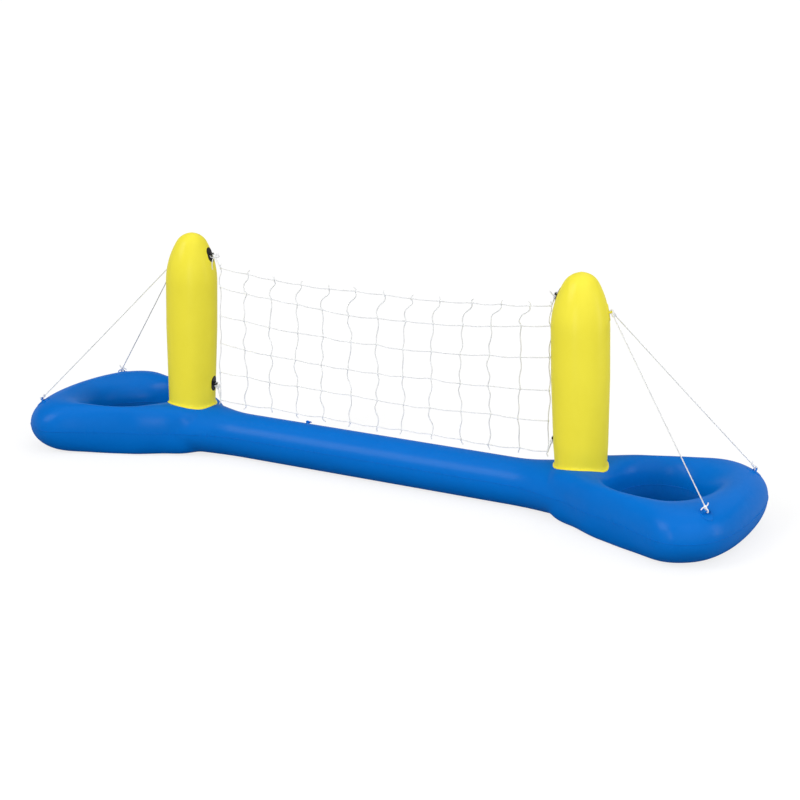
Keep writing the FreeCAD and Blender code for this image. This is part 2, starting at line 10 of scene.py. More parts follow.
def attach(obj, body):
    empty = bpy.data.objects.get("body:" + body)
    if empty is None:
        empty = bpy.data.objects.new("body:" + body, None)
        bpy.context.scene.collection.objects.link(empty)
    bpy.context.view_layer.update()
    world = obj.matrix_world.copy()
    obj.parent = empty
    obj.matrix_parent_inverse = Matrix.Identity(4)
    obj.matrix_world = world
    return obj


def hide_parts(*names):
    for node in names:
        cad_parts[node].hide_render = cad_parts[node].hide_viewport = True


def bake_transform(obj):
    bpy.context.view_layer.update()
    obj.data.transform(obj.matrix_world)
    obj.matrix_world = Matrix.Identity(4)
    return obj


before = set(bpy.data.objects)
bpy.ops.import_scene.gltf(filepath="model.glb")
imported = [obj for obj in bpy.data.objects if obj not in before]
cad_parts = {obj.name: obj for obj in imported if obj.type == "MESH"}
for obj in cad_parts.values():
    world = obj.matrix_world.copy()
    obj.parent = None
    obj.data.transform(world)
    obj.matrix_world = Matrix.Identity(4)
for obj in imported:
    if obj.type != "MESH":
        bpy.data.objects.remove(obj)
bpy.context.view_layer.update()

X = Vector((1, 0, 0))
Y = Vector((0, 1, 0))
UP = Vector((0, 0, 1))
LEFT = -1
RIGHT = 1
FRONT = -1
BACK = 1
SET = "set"
ENDS = ((FRONT, "front"), (BACK, "back"))

# Camera at the photograph's angle
PICTURE_WIDTH = 800
FOCAL_PIXELS = 1700
CAMERA_TURN = math.radians(29.0)
CAMERA_PITCH = math.radians(15.76)
CAMERA_DISTANCE = 5.242
CAMERA_TARGET = Vector((0.0904, 0, 0.2708))
SENSOR_WIDTH = 36

# Float, the same sizes as the frame's
SEAM_HEIGHT = 0.0812
TUBE_RADIUS = 0.0716
RING_CENTRE = 0.9518
RING_AHEAD = 0.2743
RING_BEHIND = 0.3598
RING_HALF_WIDTH = 0.3056
RING_HALF_HEIGHT = 0.0817
HOLE_AHEAD = 0.132
HOLE_BEHIND = 0.149
HOLE_HALF_WIDTH = 0.157
HOLE_EGG = 0.185
NECK_START = 0.4815
NECK_END = 0.727
NECK_HALF_WIDTH = 0.127
RING_OUTLINE = ((1, 0), (0.967, 0.46), (0.853, 0.79), (0.632, 0.973), (0.375, 1), (0.007, 0.831),
                (-0.276, 0.67), (-0.454, 0.592), (-0.678, 0.436), (-0.885, 0.312), (-1, 0))
PLATFORM_POWER = 1.2
FLOAT_VOXEL = 0.005
FLOAT_SMOOTHING = 34
RING_STEPS = 120
FLARE_STEPS = 12
SEAM_BEAD = 0.0012
GROUND_GAP = 0.0002

# Posts
POST_CENTRE = 0.7025
POST_LEAN = math.radians(1.93)
POST_FOOT = 0.115
POST_FOOT_RADIUS = 0.075
POST_RADIUS = 0.083
POST_TAPER_END = 0.420
POST_DOME_START = 0.567
POST_TOP = 0.726
POST_CROWN_RADIUS = 0.056
# How much fuller, higher and further to the right each post is than the frame's, as in the photo
POST_SWELL = {LEFT: 0, RIGHT: 0.0025}
POST_CROWN_RISE = {LEFT: 0, RIGHT: 0.0042}
POST_CROWN_SHIFT = {LEFT: 0.0015, RIGHT: 0.0040}
POST_PEAK = 0.0016
POST_PEAK_RADIUS = 0.014
POST_SIDES = 128
POST_STEPS = 25
PROBE_HEIGHT = 0.30
WELD_WIDTH = 0.0052
WELD_THICKNESS = 0.0022
# Width past the wall and height above the float, from the weld's outer edge inwards
WELD_SECTION = ((WELD_WIDTH + 0.0006, 0), (WELD_WIDTH + 0.0008, WELD_THICKNESS * 0.5),
                (WELD_WIDTH, WELD_THICKNESS * 0.95), (WELD_WIDTH * 0.6, WELD_THICKNESS),
                (WELD_WIDTH * 0.38, WELD_THICKNESS * 1.15))
WELD_PLEAT = 0.0008
# Height above the float and width past the wall, from the weld up
FOOT_HEIGHT = 0.06
FOOT_SECTION = ((0.0042, 0.0016), (0.0065, 0.0006), (0.010, 0.0001), (0.016, 0), (0.026, 0), (0.04, 0),
                (FOOT_HEIGHT, 0))
# A level on the post's axis near the float's top
FOOT_LEVEL = 0.15
FOOT_PLEAT = 0.0011
FOOT_PLEAT_HEIGHT = 0.018

# Tabs
TAB_RADIUS = 0.018
TAB_STRAIGHT = 0.007
TAB_SIDES = 64
TAB_RIM = 0.0016
TAB_FILM = 0.0011
FILM_SEARCH = 0.03
BAR_RISE = 0.0103
UPPER_TAB_HEIGHT = 0.660
LOWER_TAB_HEIGHT = 0.230
GUY_TAB_HEIGHT = 0.614
NET_TAB_TURNS = {LEFT: math.radians(12), RIGHT: 0}
GUY_TAB_TURN = math.radians(18)
RING_TAB_TURN = math.radians(46)
RING_TAB_RISE = math.radians(56)

# Net
NET_CORD = 0.0034
NET_HALF_LENGTH = 0.578
NET_TOP = 0.622
NET_SECOND_ROW = 0.560
# How far each row sags in its middle, from the top cord down
NET_SAGS = (0.028, 0.040, 0.031, 0.022, 0.014, 0.004)
NET_BOTTOM = 0.179
NET_SLANTS = (0.012, 0.036)
# How far along the net's left and right border cords lie at the top and at the bottom
NET_LEFT_EDGE = (-0.567, -0.583)
NET_RIGHT_EDGE = (0.590, 0.590)
NET_COLUMNS = 12
NET_ROWS = 5
NET_KNOT = 0.0019
TIE_LOOP = 0.0043
TIE_KNOTS = (0.0030, 0.0024)
SHORT_END = ((0.003, 0.007, 0.003), (0.006, 0.013, 0.009))
SHORT_ENDS = (((0.004, -0.008, 0.002), (0.008, -0.015, -0.004)), SHORT_END)
HANGING_END = ((-0.002, -0.006, -0.010), (-0.004, -0.009, -0.026), (-0.003, -0.009, -0.043))
RISING_END = ((-0.006, -0.006, 0.006), (-0.012, -0.010, 0.017))
# Reach of the bow and the cut ends at each tie, by side and whether it is the lower one
TIE_ENDS = {
    (LEFT, False): (0.015, (HANGING_END, SHORT_END)),
    (LEFT, True): (0.009, SHORT_ENDS),
    (RIGHT, False): (0, (RISING_END, SHORT_END)),
    (RIGHT, True): (0, SHORT_ENDS)}
VIEW_RIGHT = Vector((math.cos(CAMERA_TURN), math.sin(CAMERA_TURN), 0))

# Guy lines
GUY_CORD = 0.0034
GUY_SPACING = 0.0048
GUY_LOOP = 0.0048
# Distances of the two knots from the bar and their sizes
GUY_KNOTS = ((0.0100, 0.0026), (0.0140, 0.0021))
GUY_TAIL_KNOT = 0.0115
GUY_EXIT = 0.010
GUY_SAG = 0.0012
# The two cut ends at the ring's knot: how far across and up they go
GUY_TAILS = (((0.005, 0.001), (0.010, -0.001), (0.014, -0.005)),
             ((-0.004, 0.003), (-0.007, 0.005), (-0.009, 0.011)))

# Valves
FLOAT_VALVE_X = -0.284
FLOAT_VALVE_TURN = math.radians(46)
POST_VALVE_HEIGHT = 0.240
# Half the height of the post's row of faces at the valve, and how far the film is open under a flange
VALVE_BAND = 0.0085
VALVE_OPENING = 0.0095

# Small helpers

def side_name(side):
    return "right" if side == RIGHT else "left"


def link(name, mesh):
    thing = bpy.data.objects.new(name, mesh)
    bpy.context.scene.collection.objects.link(thing)
    return thing


def mesh_from(name, points, faces, smooth=True):
    mesh = bpy.data.meshes.new(name)
    mesh.from_pydata([tuple(point) for point in points], [], faces)
    mesh.update()
    for face in mesh.polygons:
        face.use_smooth = smooth
    return mesh


def give(thing, material, body=SET):
    """Puts a finish on a piece and fastens it to a body."""
    thing.data.materials.clear()
    thing.data.materials.append(material)
    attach(thing, body)
    return thing


def blend_points(points, steps):
    """A smooth open line through points, as a Catmull-Rom curve."""
    ends = [points[0] * 2 - points[1]] + list(points) + [points[-1] * 2 - points[-2]]
    line = []
    for index in range(1, len(ends) - 2):
        before, start, end, after = ends[index - 1:index + 3]
        for step in range(steps):
            share = step / steps
            square = (2 * before - 5 * start + 4 * end - after) * share ** 2
            cube = (3 * start - before - 3 * end + after) * share ** 3
            line.append(0.5 * (2 * start + (end - before) * share + square + cube))
    return line + [points[-1].copy()]


def wall_faces(count, sides, closed=False):
    """The faces between rings of points, each ring with the same number of sides."""
    faces = []
    for ring in range(count if closed else count - 1):
        here = ring * sides
        there = (ring + 1) % count * sides
        for turn in range(sides):
            after = (turn + 1) % sides
            faces.append((here + turn, here + after, there + after, there + turn))
    return faces


def tip_faces(count, sides):
    """The faces between the last ring and the one point after it."""
    last = (count - 1) * sides
    return [(last + step, last + (step + 1) % sides, count * sides) for step in range(sides)]


class CordMesh:
    """Collects round cords in one mesh, with turns round the cord and metres along it as its UV map."""

    def __init__(self):
        self.points = []
        self.faces = []
        self.uvs = []

    def add(self, line, radius, sides=8, closed=False):
        """A tube along line."""
        count = len(line)
        start = len(self.points)
        side = None
        lengths = [0.0]
        for index, point in enumerate(line):
            ahead = line[(index + 1) % count] if closed else line[min(index + 1, count - 1)]
            behind = line[index - 1] if closed else line[max(index - 1, 0)]
            along = (ahead - behind).normalized()
            if side is None:
                side = along.orthogonal()
            side = (side - along * side.dot(along)).normalized()
            other = along.cross(side)
            for turn in range(sides):
                angle = 2 * math.pi * turn / sides
                self.points.append(point + (side * math.cos(angle) + other * math.sin(angle)) * radius)
            lengths.append(lengths[-1] + (ahead - point).length)
        self.faces += [tuple(start + corner for corner in face) for face in wall_faces(count, sides, closed)]
        for low, high in zip(lengths, lengths[1:] if closed else lengths[1:-1]):
            for turn in range(sides):
                left, right = turn / sides, (turn + 1) / sides
                self.uvs.append(((left, low), (right, low), (right, high), (left, high)))
        if not closed:
            for ring, order in ((0, range(sides - 1, -1, -1)), (count - 1, range(sides))):
                self.faces.append(tuple(start + ring * sides + turn for turn in order))
                self.uvs.append(((0, lengths[ring]),) * sides)

    def make(self, name):
        mesh = mesh_from(name, self.points, self.faces)
        layer = mesh.uv_layers.new(name="cord")
        flat = [uv for face in self.uvs for uv in face]
        for loop, uv in zip(layer.data, flat):
            loop.uv = uv
        return link(name, mesh)


# Camera

def make_camera():
    data = bpy.data.cameras.new("camera")
    data.sensor_width = SENSOR_WIDTH
    data.lens = FOCAL_PIXELS / PICTURE_WIDTH * SENSOR_WIDTH
    camera = link("camera", data)
    level = math.cos(CAMERA_PITCH)
    ahead = Vector((-math.sin(CAMERA_TURN) * level, math.cos(CAMERA_TURN) * level, -math.sin(CAMERA_PITCH)))
    camera.location = CAMERA_TARGET - ahead * CAMERA_DISTANCE
    camera.rotation_euler = ahead.to_track_quat("-Z", "Y").to_euler()
    bpy.context.scene.camera = camera


make_camera()


# Materials

class Wire:
    """A shader socket that can be written in sums; each operator adds a Math node."""

    def __init__(self, finish, socket):
        self.finish = finish
        self.socket = socket

    def math(self, operation, *others):
        return self.finish.node("ShaderNodeMath", {"operation": operation}, {
            index: value for index, value in enumerate((self,) + others)})

    def __add__(self, other):
        return self.math("ADD", other)

    __radd__ = __add__

    def __mul__(self, other):
        return self.math("MULTIPLY", other)

    def __sub__(self, other):
        return self.math("SUBTRACT", other)

    def __rsub__(self, other):
        return (self * -1) + other

    def __truediv__(self, other):
        return self.math("DIVIDE", other)

    def sine(self):
        return self.math("SINE")

    def absolute(self):
        return self.math("ABSOLUTE")

    def power(self, exponent):
        return self.math("POWER", exponent)

    def clamp(self):
        return self.math("MINIMUM", 1).math("MAXIMUM", 0)


class Finish:
    """A Principled material whose nodes are added one call at a time."""

    def __init__(self, name, **constants):
        self.material = bpy.data.materials.new(name)
        self.material.use_nodes = True
        self.tree = self.material.node_tree
        self.shader = self.tree.nodes["Principled BSDF"]
        for socket, value in constants.items():
            self.shader.inputs[socket.replace("_", " ")].default_value = value

    def node(self, kind, settings=None, inputs=None, output=0):
        made = self.tree.nodes.new(kind)
        for key, value in (settings or {}).items():
            setattr(made, key, value)
        for key, value in (inputs or {}).items():
            self.feed(made.inputs[key], value)
        return Wire(self, made.outputs[output])

    def feed(self, socket, value):
        if isinstance(value, Wire):
            self.tree.links.new(value.socket, socket)
        else:
            socket.default_value = value

    def set(self, name, value):
        self.feed(self.shader.inputs[name], value)

    def place(self):
        """Object coordinates, in metres."""
        return self.node("ShaderNodeTexCoord", output="Object")

    def axes(self, vector):
        split = self.node("ShaderNodeSeparateXYZ", inputs={0: vector})
        outputs = split.socket.node.outputs
        return Wire(self, outputs[0]), Wire(self, outputs[1]), Wire(self, outputs[2])

    def stretch(self, vector, scale):
        return self.node("ShaderNodeVectorMath", {"operation": "MULTIPLY"}, {0: vector, 1: scale})

    def noise(self, vector, scale, detail):
        return self.node("ShaderNodeTexNoise", inputs={"Vector": vector, "Scale": scale, "Detail": detail})

    def mix(self, share, first, second):
        """A colour between two colours."""
        made = self.tree.nodes.new("ShaderNodeMix")
        made.data_type = "RGBA"
        self.feed(made.inputs["Factor"], share)
        self.feed(made.inputs[6], first)
        self.feed(made.inputs[7], second)
        return Wire(self, made.outputs[2])

    def bump(self, height):
        """Height in metres pushes the surface's shading out."""
        self.set("Normal", self.node("ShaderNodeBump", inputs={"Height": height, "Distance": 1, "Strength": 1}))


def near(distance, width):
    """1 on a line and 0 from width away, smoothly."""
    return (1 - (distance.absolute() / width)).clamp().power(2)


def float_finish():
    """Blue satin PVC film, duller near the ground: broad waviness, colour drift and puckers along the seam."""
    finish = Finish("blue_film", Specular_IOR_Level=0.0, Coat_Roughness=0.3)
    place = finish.place()
    broad = finish.noise(place, 7.0, 1.0)
    fine = finish.noise(place, 60.0, 3.0)
    drift = (broad * 0.9 + fine * 0.3 - 0.1).clamp()
    finish.set("Base Color", finish.mix(drift, (0.0, 0.140, 0.55, 1), (0.0, 0.158, 0.60, 1)))
    level = finish.axes(place)[2]
    clean = ((level - 0.03) / 0.07).clamp()
    finish.set("Coat Weight", (0.17 + fine * 0.06) * (clean * 0.8 + 0.2))
    folds = finish.noise(finish.stretch(place, (1, 1, 0.12)), 95.0, 1.0) - 0.5
    where = (finish.noise(place, 9.0, 0.0) * 3.2 - 1.1).clamp()
    puckers = folds * where * near(level - SEAM_HEIGHT, 0.03)
    finish.bump(broad * 0.004 + fine * 0.00008 + puckers * 0.0034)
    return finish.material


def post_finish():
    """Yellow PVC film with gathers at the foot and faint creases up the dome."""
    finish = Finish("yellow_film", Specular_IOR_Level=0.0, Coat_Roughness=0.3)
    place = finish.place()
    broad = finish.noise(place, 8.0, 1.0)
    fine = finish.noise(place, 60.0, 3.0)
    drift = (broad * 0.9 + fine * 0.3 - 0.1).clamp()
    finish.set("Base Color", finish.mix(drift, (0.86, 0.75, 0.045, 1), (0.91, 0.81, 0.06, 1)))
    finish.set("Coat Weight", 0.24 + fine * 0.08)
    level = finish.axes(place)[2]
    gathers = finish.noise(finish.stretch(place, (1, 1, 0.15)), 75.0, 1.0) - 0.5
    foot = near(level - 0.15, 0.07)
    head = near(level - 0.70, 0.10)
    creases = finish.noise(finish.stretch(place, (1, 1, 0.35)), 46.0, 1.5) - 0.5
    finish.bump(broad * 0.003 + fine * 0.00008 + gathers * foot * 0.002 + creases * head * 0.0026)
    return finish.material


def moulded_finish(name, colour, shine):
    """Soft moulded PVC with a fine grain."""
    finish = Finish(name, IOR=1.5, Specular_IOR_Level=0.04)
    place = finish.place()
    grain = finish.noise(place, 900.0, 2.0)
    lighter = tuple(min(1, part * 1.25 + 0.01) for part in colour[:3]) + (1,)
    finish.set("Base Color", finish.mix(grain, colour, lighter))
    finish.set("Roughness", shine - 0.05 + grain * 0.12)
    finish.bump(grain * 0.00006)
    return finish.material


def clear_finish():
    """Milky clear soft PVC."""
    finish = Finish("milky_valve", Roughness=0.3, IOR=1.48, Transmission_Weight=0.35)
    place = finish.place()
    cloud = finish.noise(place, 150.0, 2.0)
    finish.set("Base Color", finish.mix(cloud, (0.66, 0.74, 0.80, 1), (0.84, 0.88, 0.90, 1)))
    finish.set("Roughness", 0.24 + cloud * 0.14)
    finish.bump(cloud * 0.0001)
    return finish.material


def cord_finish(name, radius, colour, shade):
    """White twisted cord: slanting strands from the UV map, with painted shade between them, and a little fluff.
    """
    finish = Finish(name, Roughness=0.8, IOR=1.45)
    around, along = finish.axes(finish.node("ShaderNodeTexCoord", output="UV"))[:2]
    strand = ((around * 3 + along * (0.45 / radius)) * (2 * math.pi)).sine() * 0.5 + 0.5
    fluff = finish.noise(finish.place(), 1400.0, 2.0)
    # Painted shade: between the strands the colour falls to the shade colour, standing for the shadow in the
    # grooves
    finish.set("Base Color", finish.mix((strand * 0.8 + fluff * 0.35 - 0.05).clamp(), shade, colour))
    finish.set("Roughness", 0.72 + fluff * 0.2)
    finish.bump((strand.power(0.5) * 0.22 + fluff * 0.08) * radius)
    return finish.material


BLUE_FILM = float_finish()
YELLOW_FILM = post_finish()
BLACK_TAB = moulded_finish("black_soft_pvc", (0.006, 0.006, 0.007, 1), 0.32)
BLUE_TAB = moulded_finish("blue_soft_pvc", (0.0, 0.15, 0.60, 1), 0.35)
MILKY = clear_finish()
# The second colour of each cord is the painted shade between its strands
NET_WHITE = cord_finish("net_cord", NET_CORD / 2, (0.93, 0.94, 0.95, 1), (0.83, 0.84, 0.85, 1))
GUY_WHITE = cord_finish("guy_cord", GUY_CORD / 2, (0.94, 0.95, 0.96, 1), (0.84, 0.85, 0.86, 1))


# Places shared by several pieces

def post_matrix(side):
    return Matrix.Translation((side * POST_CENTRE, 0, 0)) @ Matrix.Rotation(-side * POST_LEAN, 4, "Y")


def flank():
    """The dome's flank radius and the turn at which the flank meets the crown."""
    tall = POST_TOP - POST_DOME_START
    rest = POST_RADIUS ** 2 + tall ** 2 - 2 * tall * POST_CROWN_RADIUS
    radius = rest / (2 * (POST_RADIUS - POST_CROWN_RADIUS))
    return radius, math.atan2(tall - POST_CROWN_RADIUS, radius - POST_RADIUS)


def post_skin(height, heading):
    """A point on the post's wall or flank in its own frame, and the outward direction there."""
    radius = wall_radius(height)
    slope = X.copy()
    if height > POST_DOME_START:
        reach, unused = flank()
        rise = (height - POST_DOME_START) / reach
        slope = Vector((math.sqrt(1 - rise ** 2), 0, rise))
        radius -= reach * (1 - slope.x)
    turn = Matrix.Rotation(heading, 3, "Z")
    return turn @ Vector((radius, 0, height)), turn @ slope


def wall_radius(height):
    taper = max(0, (POST_TAPER_END - height) / (POST_TAPER_END - POST_FOOT))
    return POST_RADIUS - (POST_RADIUS - POST_FOOT_RADIUS) * taper


def post_tab_frame(side, height, heading):
    """A frame on the post's skin; heading 0 looks away from the net and half a turn looks at it."""
    point, outward = post_skin(height, heading if side == RIGHT else math.pi - heading)
    matrix = post_matrix(side)
    return frame_on(matrix @ point, matrix.to_3x3() @ outward, Y)


def frame_on(point, outward, across):
    """A square frame at point with local Z outward and local X nearly along across."""
    z_axis = outward.normalized()
    y_axis = z_axis.cross(across).normalized()
    x_axis = y_axis.cross(z_axis)
    matrix = Matrix((x_axis, y_axis, z_axis)).transposed().to_4x4()
    matrix.translation = point
    return matrix


def outline_reach(points):
    """From half a plan outline, a function that gives its distance from the ring's centre at a turn."""
    far = [Vector((across, along, 0)) for across, along in points]
    near_half = [Vector((point.x, -point.y, 0)) for point in far[-2:0:-1]]
    whole = far + near_half
    line = blend_points(whole[-2:] + whole + whole[:3], 12)
    polar = sorted((math.atan2(point.y, point.x) % (2 * math.pi), point.length) for point in line[24:-24])

    def reach(turn):
        turn %= 2 * math.pi
        for index in range(len(polar)):
            if polar[index][0] >= turn:
                break
        low = polar[index - 1]
        high = polar[index]
        low_turn = low[0] if low[0] <= turn else low[0] - 2 * math.pi
        span = high[0] - low_turn
        if span <= 0:
            return high[1]
        return low[1] + (high[1] - low[1]) * min(1, (turn - low_turn) / span)

    return reach


ring_reach = outline_reach([(along * (RING_AHEAD if along > 0 else RING_BEHIND), across * RING_HALF_WIDTH)
                            for along, across in RING_OUTLINE])
hole_reach = outline_reach([(math.cos(turn) * (HOLE_AHEAD if math.cos(turn) > 0 else HOLE_BEHIND),
                             HOLE_HALF_WIDTH * math.sin(turn) * (1 - HOLE_EGG * math.cos(turn)))
                            for turn in (math.pi * step / 16 for step in range(17))])


def ring_section(turn):
    """Where the ring's section lies at one turn, how wide it is, and its power, fuller under the post."""
    outer = ring_reach(turn)
    inner = hole_reach(turn)
    return (outer + inner) / 2, (outer - inner) / 2, 2 + PLATFORM_POWER * max(0, -math.cos(turn)) ** 4


# Float

def loft(name, sections, closed):
    """Skins rings of points into a mesh."""
    points = [point for section in sections for point in section]
    sides = len(sections[0])
    count = len(sections)
    faces = wall_faces(count, sides, closed)
    if not closed:
        faces.append(tuple(range(sides - 1, -1, -1)))
        faces.append(tuple((count - 1) * sides + turn for turn in range(sides)))
    return mesh_from(name, points, faces)


def rounded(part, power):
    """A share of a half axis on a curve that is an ellipse at power 2 and squarer above it."""
    return math.copysign(abs(part) ** (2 / power), part)


def oval(centre, across, half_width, half_height, power=2, sides=40):
    turns = [2 * math.pi * step / sides for step in range(sides)]
    return [centre + across * (half_width * rounded(math.cos(turn), power))
            + UP * (half_height * rounded(math.sin(turn), power)) for turn in turns]


def ring_mesh(side):
    centre = Vector((side * RING_CENTRE, 0, SEAM_HEIGHT))
    sections = []
    for step in range(RING_STEPS):
        turn = 2 * math.pi * step / RING_STEPS
        heading = Vector((side * math.cos(turn), math.sin(turn), 0))
        middle, half_width, power = ring_section(turn)
        sections.append(oval(centre + heading * middle, heading, half_width, RING_HALF_HEIGHT, power))
    return loft("ring", sections, True)


def tube_mesh():
    """The centre tube with its flare into each ring."""
    sections = []
    for side in (LEFT, RIGHT):
        for step in range(FLARE_STEPS + 1):
            share = step / FLARE_STEPS if side == RIGHT else 1 - step / FLARE_STEPS
            flare = (1 - math.cos(math.pi * share)) / 2
            place = side * (NECK_START + (NECK_END - NECK_START) * share)
            half_width = TUBE_RADIUS + (NECK_HALF_WIDTH - TUBE_RADIUS) * flare
            half_height = TUBE_RADIUS + (RING_HALF_HEIGHT - TUBE_RADIUS) * flare
            middle = Vector((place, 0, SEAM_HEIGHT + half_height - RING_HALF_HEIGHT))
            sections.append(oval(middle, Y, half_width, half_height))
    return loft("tube", sections, False)


def make_float():
    """The whole air chamber as one smooth skin, its parts run together as film does."""
    whole = bmesh.new()
    for mesh in (ring_mesh(LEFT), ring_mesh(RIGHT), tube_mesh()):
        whole.from_mesh(mesh)
    bmesh.ops.recalc_face_normals(whole, faces=whole.faces)
    mesh = bpy.data.meshes.new("float_film")
    whole.to_mesh(mesh)
    whole.free()
    skin = link("float_film", mesh)
    remesh = skin.modifiers.new("remesh", "REMESH")
    remesh.mode = "VOXEL"
    remesh.voxel_size = FLOAT_VOXEL
    relax = skin.modifiers.new("relax", "SMOOTH")
    relax.factor = 0.5
    relax.iterations = FLOAT_SMOOTHING
    bake_modifiers(skin)
    swell(skin)
    for face in skin.data.polygons:
        face.use_smooth = True
    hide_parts("float_top_sheet", "float_bottom_sheet")
    return give(skin, BLUE_FILM)


def bake_modifiers(thing):
    depsgraph = bpy.context.evaluated_depsgraph_get()
    baked = bpy.data.meshes.new_from_object(thing.evaluated_get(depsgraph))
    thing.modifiers.clear()
    thing.data = baked


def swell(skin):
    """Gives back what smoothing took and flattens the underside on the ground."""
    tube_top = SEAM_HEIGHT - RING_HALF_HEIGHT + 2 * TUBE_RADIUS
    loss = tube_top - max(vertex.co.z for vertex in skin.data.vertices if abs(vertex.co.x) < 0.1)
    skin.data.update()
    normals = [vertex.normal.copy() for vertex in skin.data.vertices]
    for vertex, normal in zip(skin.data.vertices, normals):
        vertex.co += normal * loss
        vertex.co.z = max(vertex.co.z, GROUND_GAP)
    skin.data.update()


FLOAT = make_float()
FLOAT_TREE = BVHTree.FromObject(FLOAT, bpy.context.evaluated_depsgraph_get())


def make_seam():
    """The welded edge of the two sheets, a thin bead all round the float and round each hole."""
    cut = bmesh.new()
    cut.from_mesh(FLOAT.data)
    result = bmesh.ops.bisect_plane(cut, geom=cut.verts[:] + cut.edges[:] + cut.faces[:],
                                    plane_co=(0, 0, SEAM_HEIGHT), plane_no=UP)
    cut.edges.index_update()
    edges = [item for item in result["geom_cut"] if isinstance(item, bmesh.types.BMEdge)]
    left = dict.fromkeys(sorted(edges, key=lambda edge: edge.index))
    beads = CordMesh()
    while left:
        start, current = left.popitem()[0].verts
        line = [start.co.copy()]
        while current is not start:
            line.append(current.co.copy())
            following = next((edge for edge in current.link_edges if edge in left), None)
            if following is None:
                break
            del left[following]
            current = following.other_vert(current)
        if len(line) > 20:
            beads.add(line[::2], SEAM_BEAD, 6, closed=True)
    cut.free()
    return give(beads.make("float_seam"), BLUE_FILM)


make_seam()


# Posts

def round_post(radius, turn, height):
    return Vector((radius * math.cos(turn), radius * math.sin(turn), height))


def contact_height(matrix, radius, turn):
    """How high up the post's axis the float's top lies at a radius and turn in the post's own frame."""
    start = matrix @ round_post(radius, turn, PROBE_HEIGHT)
    down = matrix.to_3x3() @ -UP
    place, unused_normal, unused_index, distance = FLOAT_TREE.ray_cast(start, down)
    return PROBE_HEIGHT - distance if place else SEAM_HEIGHT


def dome_rings():
    """Radius and height of the rings from the dome's foot to its top."""
    reach, join = flank()
    rings = [(POST_RADIUS - reach + reach * math.cos(join * step / 10),
              POST_DOME_START + reach * math.sin(join * step / 10)) for step in range(10)]
    centre = POST_TOP - POST_CROWN_RADIUS
    for step in range(14):
        turn = join + (math.pi / 2 - join) * step / 14
        rings.append((POST_CROWN_RADIUS * math.cos(turn), centre + POST_CROWN_RADIUS * math.sin(turn)))
    return rings


def fullness(turn, side):
    """How far the post swells out at a turn; the back stays as it is for the valve."""
    return POST_SWELL[side] * (1 - max(0, math.sin(turn)) ** 2)


def crown_place(radius, height, turn, side):
    """A point on the dome, which leans a little and ends in a small peak."""
    share = (height - POST_DOME_START) / (POST_TOP - POST_DOME_START)
    full = fullness(turn, side) * min(1, radius / POST_CROWN_RADIUS)
    peak = POST_PEAK * max(0, 1 - radius / POST_PEAK_RADIUS) ** 2
    across = (radius + full) * math.cos(turn) + POST_CROWN_SHIFT[side] * share ** 2
    level = height + POST_CROWN_RISE[side] * share ** 2 + peak
    return Vector((across, (radius + full) * math.sin(turn), level))


def gather(turn, side):
    """Uneven pleats round the foot, from -1 to 1."""
    way = Vector((math.cos(turn), math.sin(turn), side * 3.0))
    return noise.noise(way * 6.0) + 0.6 * noise.noise(way * 13.0)


def make_post(side):
    """The post's film: a foot that flares into its weld on the float, the wall and the dome."""
    matrix = post_matrix(side)
    turns = [2 * math.pi * step / POST_SIDES for step in range(POST_SIDES)]
    foot_radius = wall_radius(FOOT_LEVEL)
    feet = [contact_height(matrix, foot_radius, turn) for turn in turns]
    rings = []
    for width, lift in WELD_SECTION:
        ring = []
        for turn in turns:
            radius = foot_radius + width + WELD_PLEAT * gather(turn, side)
            ring.append(round_post(radius, turn, contact_height(matrix, radius, turn) + lift))
        rings.append(ring)
    for rise, spread in FOOT_SECTION:
        ring = []
        for turn, foot in zip(turns, feet):
            pleat = FOOT_PLEAT * gather(turn, side) * math.exp(-rise / FOOT_PLEAT_HEIGHT)
            radius = wall_radius(foot + rise) + spread + pleat + fullness(turn, side) * rise / FOOT_HEIGHT
            ring.append(round_post(radius, turn, foot + rise))
        rings.append(ring)
    start = max(feet) + FOOT_HEIGHT
    levels = [start + (POST_DOME_START - start) * step / POST_STEPS for step in range(1, POST_STEPS)]
    levels = [level for level in levels if abs(level - POST_VALVE_HEIGHT) > 1.2 * VALVE_BAND]
    for height in sorted(levels + [POST_VALVE_HEIGHT - VALVE_BAND, POST_VALVE_HEIGHT + VALVE_BAND]):
        rings.append([round_post(wall_radius(height) + fullness(turn, side), turn, height) for turn in turns])
    for radius, height in dome_rings():
        rings.append([crown_place(radius, height, turn, side) for turn in turns])
    points = [matrix @ point for ring in rings for point in ring]
    points.append(matrix @ crown_place(0, POST_TOP, 0, side))
    faces = wall_faces(len(rings), POST_SIDES) + tip_faces(len(rings), POST_SIDES)
    name = side_name(side)
    post = link(name + "_post_film", mesh_from(name + "_post_film", points, faces))
    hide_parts(name + "_post", name + "_post_weld")
    return give(post, YELLOW_FILM)


POSTS = {side: make_post(side) for side in (LEFT, RIGHT)}
POST_TREES = {side: BVHTree.FromObject(post, bpy.context.evaluated_depsgraph_get())
              for side, post in POSTS.items()}


# Tabs

def sweep(line, profile, across, points, faces):
    """Adds a solid strip of one profile along line; profile pairs run across it and square to it."""
    start = len(points)
    sides = len(profile)
    for index, place in enumerate(line):
        ahead = line[min(index + 1, len(line) - 1)] - line[max(index - 1, 0)]
        square = across.cross(ahead).normalized()
        points += [place + across * wide + square * thick for wide, thick in profile]
    for ring in range(len(line) - 1):
        for edge in range(sides):
            here = start + ring * sides
            after = (edge + 1) % sides
            faces.append((here + edge, here + sides + edge, here + sides + after, here + after))
    faces.append(tuple(start + edge for edge in range(sides)))
    faces.append(tuple(len(points) - 1 - edge for edge in range(sides)))


